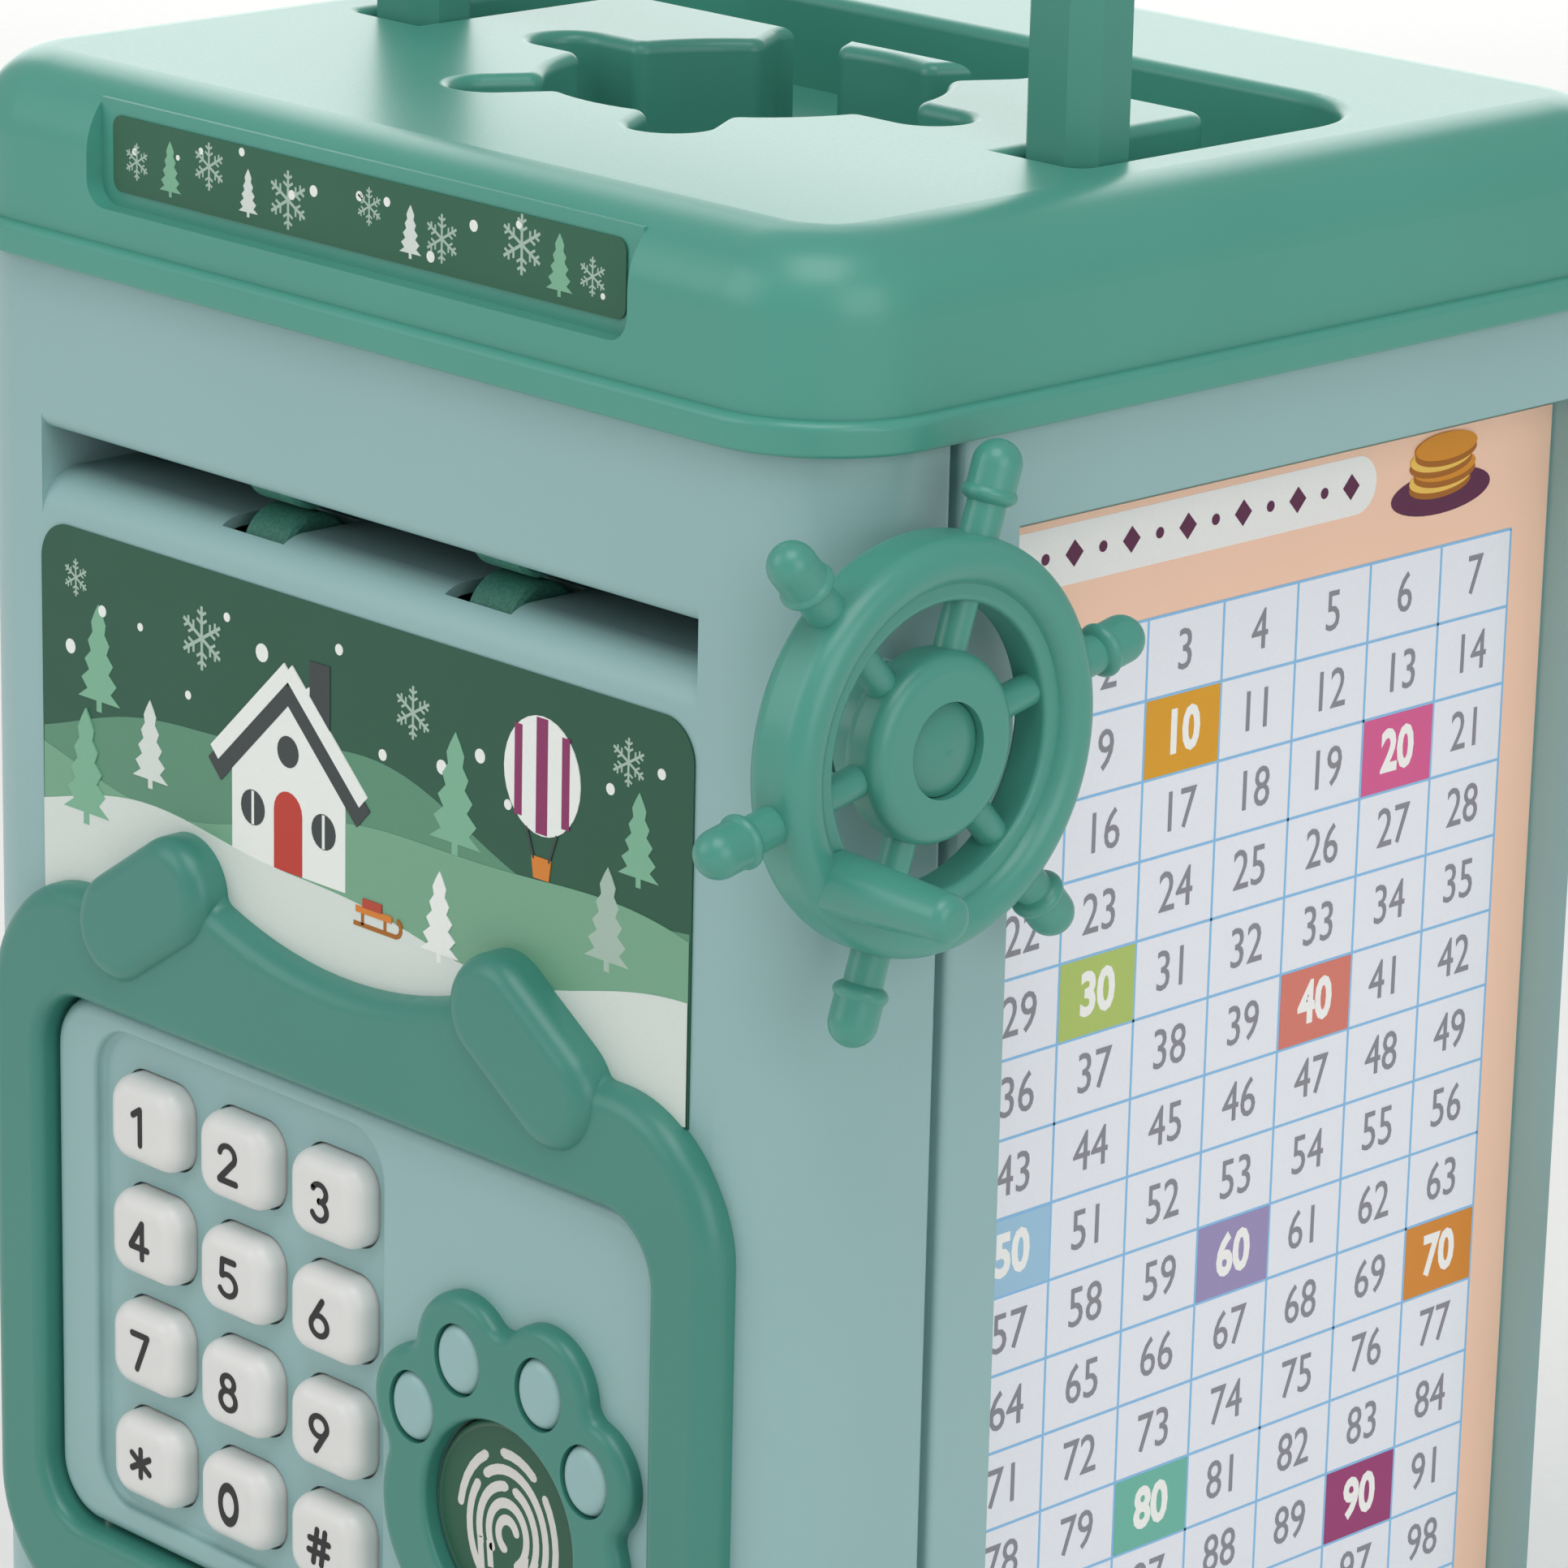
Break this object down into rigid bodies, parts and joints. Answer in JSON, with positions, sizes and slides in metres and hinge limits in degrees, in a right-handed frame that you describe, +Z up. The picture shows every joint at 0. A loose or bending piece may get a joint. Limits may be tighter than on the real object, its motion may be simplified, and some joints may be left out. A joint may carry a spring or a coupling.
{
  "type": "money box",
  "caption": "Toy cash-machine money box with note slot, crank wheel, keypad door, paw-shaped button, savings charts and a folding carrying handle.",
  "frame": {"origin": "middle of the base's flat underside", "axes": "+X to the crank-wheel side, the keypad front faces -Y, +Z up"},
  "size_m": [0.149, 0.1361, 0.2178],
  "materials": {
    "teal_plastic": "satin moulded plastic",
    "green_plastic": "satin moulded plastic",
    "dark_green_plastic": "satin moulded plastic",
    "key_plastic": "satin moulded plastic",
    "scanner_plastic": "satin moulded plastic",
    "inner_plastic": "plain moulded",
    "printed_sheet": "printed and laminated",
    "roller_rubber": "plain",
    "mat_rubber": "plain",
    "board": "lacquered board",
    "cell_jacket": "printed jacket",
    "steel": "plain",
    "contact_metal": "nickel plated",
    "coil": "zinc plated case",
    "speaker_body": "plain"
  },
  "bodies": {
    "case": {"body_shell": "teal_plastic", "front_housing": "teal_plastic", "base": "green_plastic", "lid": "green_plastic", "door_frame": "dark_green_plastic", "roller_bracket": "inner_plastic", "shaft_bushes": "inner_plastic", "lid_label": "printed_sheet", "front_picture": "printed_sheet", "chart_left": "printed_sheet", "chart_right": "printed_sheet", "door_hinge_pins": "steel", "lock_keeper": "steel", "base_screws": "steel", "lid_screws": "steel", "housing_screws": "steel", "frame_screws": "steel", "bracket_screws": "steel", "keeper_screws": "steel"},
    "carrying_handle": {"handle": "green_plastic"},
    "door": {"door_panel": "teal_plastic", "keypad_mat": "mat_rubber", "circuit_board": "board", "door_back_cover": "inner_plastic", "battery_cover": "inner_plastic", "battery_tray": "inner_plastic", "battery_cells": "cell_jacket", "battery_contacts": "contact_metal", "lock_solenoid": "coil", "speaker": "speaker_body", "paw_bezel": "dark_green_plastic", "toe_pads": "teal_plastic", "board_screws": "steel", "battery_screw": "steel"},
    "key_1_body": {"key_1": "key_plastic"},
    "key_2_body": {"key_2": "key_plastic"},
    "key_3_body": {"key_3": "key_plastic"},
    "key_4_body": {"key_4": "key_plastic"},
    "key_5_body": {"key_5": "key_plastic"},
    "key_6_body": {"key_6": "key_plastic"},
    "key_7_body": {"key_7": "key_plastic"},
    "key_8_body": {"key_8": "key_plastic"},
    "key_9_body": {"key_9": "key_plastic"},
    "key_star_body": {"key_star": "key_plastic"},
    "key_0_body": {"key_0": "key_plastic"},
    "key_hash_body": {"key_hash": "key_plastic"},
    "scanner": {"scanner_button": "scanner_plastic"},
    "bolt": {"lock_bolt": "steel"},
    "crank": {"roller_shaft": "steel", "drive_roller_left": "roller_rubber", "drive_roller_right": "roller_rubber", "crank_wheel": "green_plastic", "hub_cap": "green_plastic", "hub_screw": "steel"},
    "idler": {"idler_shaft": "steel", "idler_roller_left": "roller_rubber", "idler_roller_right": "roller_rubber"}
  },
  "joints": [
    {"name": "handle_fold", "type": "hinge", "parent": "case", "child": "carrying_handle", "pos_m": [0, -0.0087, 0.1796], "axis": [-1, 0, 0], "range_deg": [0, 90]},
    {"name": "door_swing", "type": "hinge", "parent": "case", "child": "door", "pos_m": [-0.0385, -0.056, 0.0636], "axis": [0, 0, -1], "range_deg": [0, 100]},
    {"name": "key_1_press", "type": "slide", "parent": "door", "child": "key_1_body", "axis": [0, 1, 0], "range_m": [0, 0.0012], "stiffness_N_per_m": 800},
    {"name": "key_2_press", "type": "slide", "parent": "door", "child": "key_2_body", "axis": [0, 1, 0], "range_m": [0, 0.0012], "stiffness_N_per_m": 800},
    {"name": "key_3_press", "type": "slide", "parent": "door", "child": "key_3_body", "axis": [0, 1, 0], "range_m": [0, 0.0012], "stiffness_N_per_m": 800},
    {"name": "key_4_press", "type": "slide", "parent": "door", "child": "key_4_body", "axis": [0, 1, 0], "range_m": [0, 0.0012], "stiffness_N_per_m": 800},
    {"name": "key_5_press", "type": "slide", "parent": "door", "child": "key_5_body", "axis": [0, 1, 0], "range_m": [0, 0.0012], "stiffness_N_per_m": 800},
    {"name": "key_6_press", "type": "slide", "parent": "door", "child": "key_6_body", "axis": [0, 1, 0], "range_m": [0, 0.0012], "stiffness_N_per_m": 800},
    {"name": "key_7_press", "type": "slide", "parent": "door", "child": "key_7_body", "axis": [0, 1, 0], "range_m": [0, 0.0012], "stiffness_N_per_m": 800},
    {"name": "key_8_press", "type": "slide", "parent": "door", "child": "key_8_body", "axis": [0, 1, 0], "range_m": [0, 0.0012], "stiffness_N_per_m": 800},
    {"name": "key_9_press", "type": "slide", "parent": "door", "child": "key_9_body", "axis": [0, 1, 0], "range_m": [0, 0.0012], "stiffness_N_per_m": 800},
    {"name": "key_star_press", "type": "slide", "parent": "door", "child": "key_star_body", "axis": [0, 1, 0], "range_m": [0, 0.0012], "stiffness_N_per_m": 800},
    {"name": "key_0_press", "type": "slide", "parent": "door", "child": "key_0_body", "axis": [0, 1, 0], "range_m": [0, 0.0012], "stiffness_N_per_m": 800},
    {"name": "key_hash_press", "type": "slide", "parent": "door", "child": "key_hash_body", "axis": [0, 1, 0], "range_m": [0, 0.0012], "stiffness_N_per_m": 800},
    {"name": "scanner_press", "type": "slide", "parent": "door", "child": "scanner", "axis": [0, 1, 0], "range_m": [0, 0.0008], "stiffness_N_per_m": 1500},
    {"name": "bolt_slide", "type": "slide", "parent": "door", "child": "bolt", "axis": [1, 0, 0], "range_m": [0, 0.007]},
    {"name": "crank_spin", "type": "hinge", "parent": "case", "child": "crank", "pos_m": [0, -0.0502, 0.1415], "axis": [1, 0, 0], "continuous": true},
    {"name": "idler_spin", "type": "hinge", "parent": "case", "child": "idler", "pos_m": [0, -0.0502, 0.1502], "axis": [1, 0, 0], "continuous": true}
  ],
  "couplings": [
    {"joint": "idler_spin", "follows": "crank_spin", "ratio": -1.075}
  ]
}
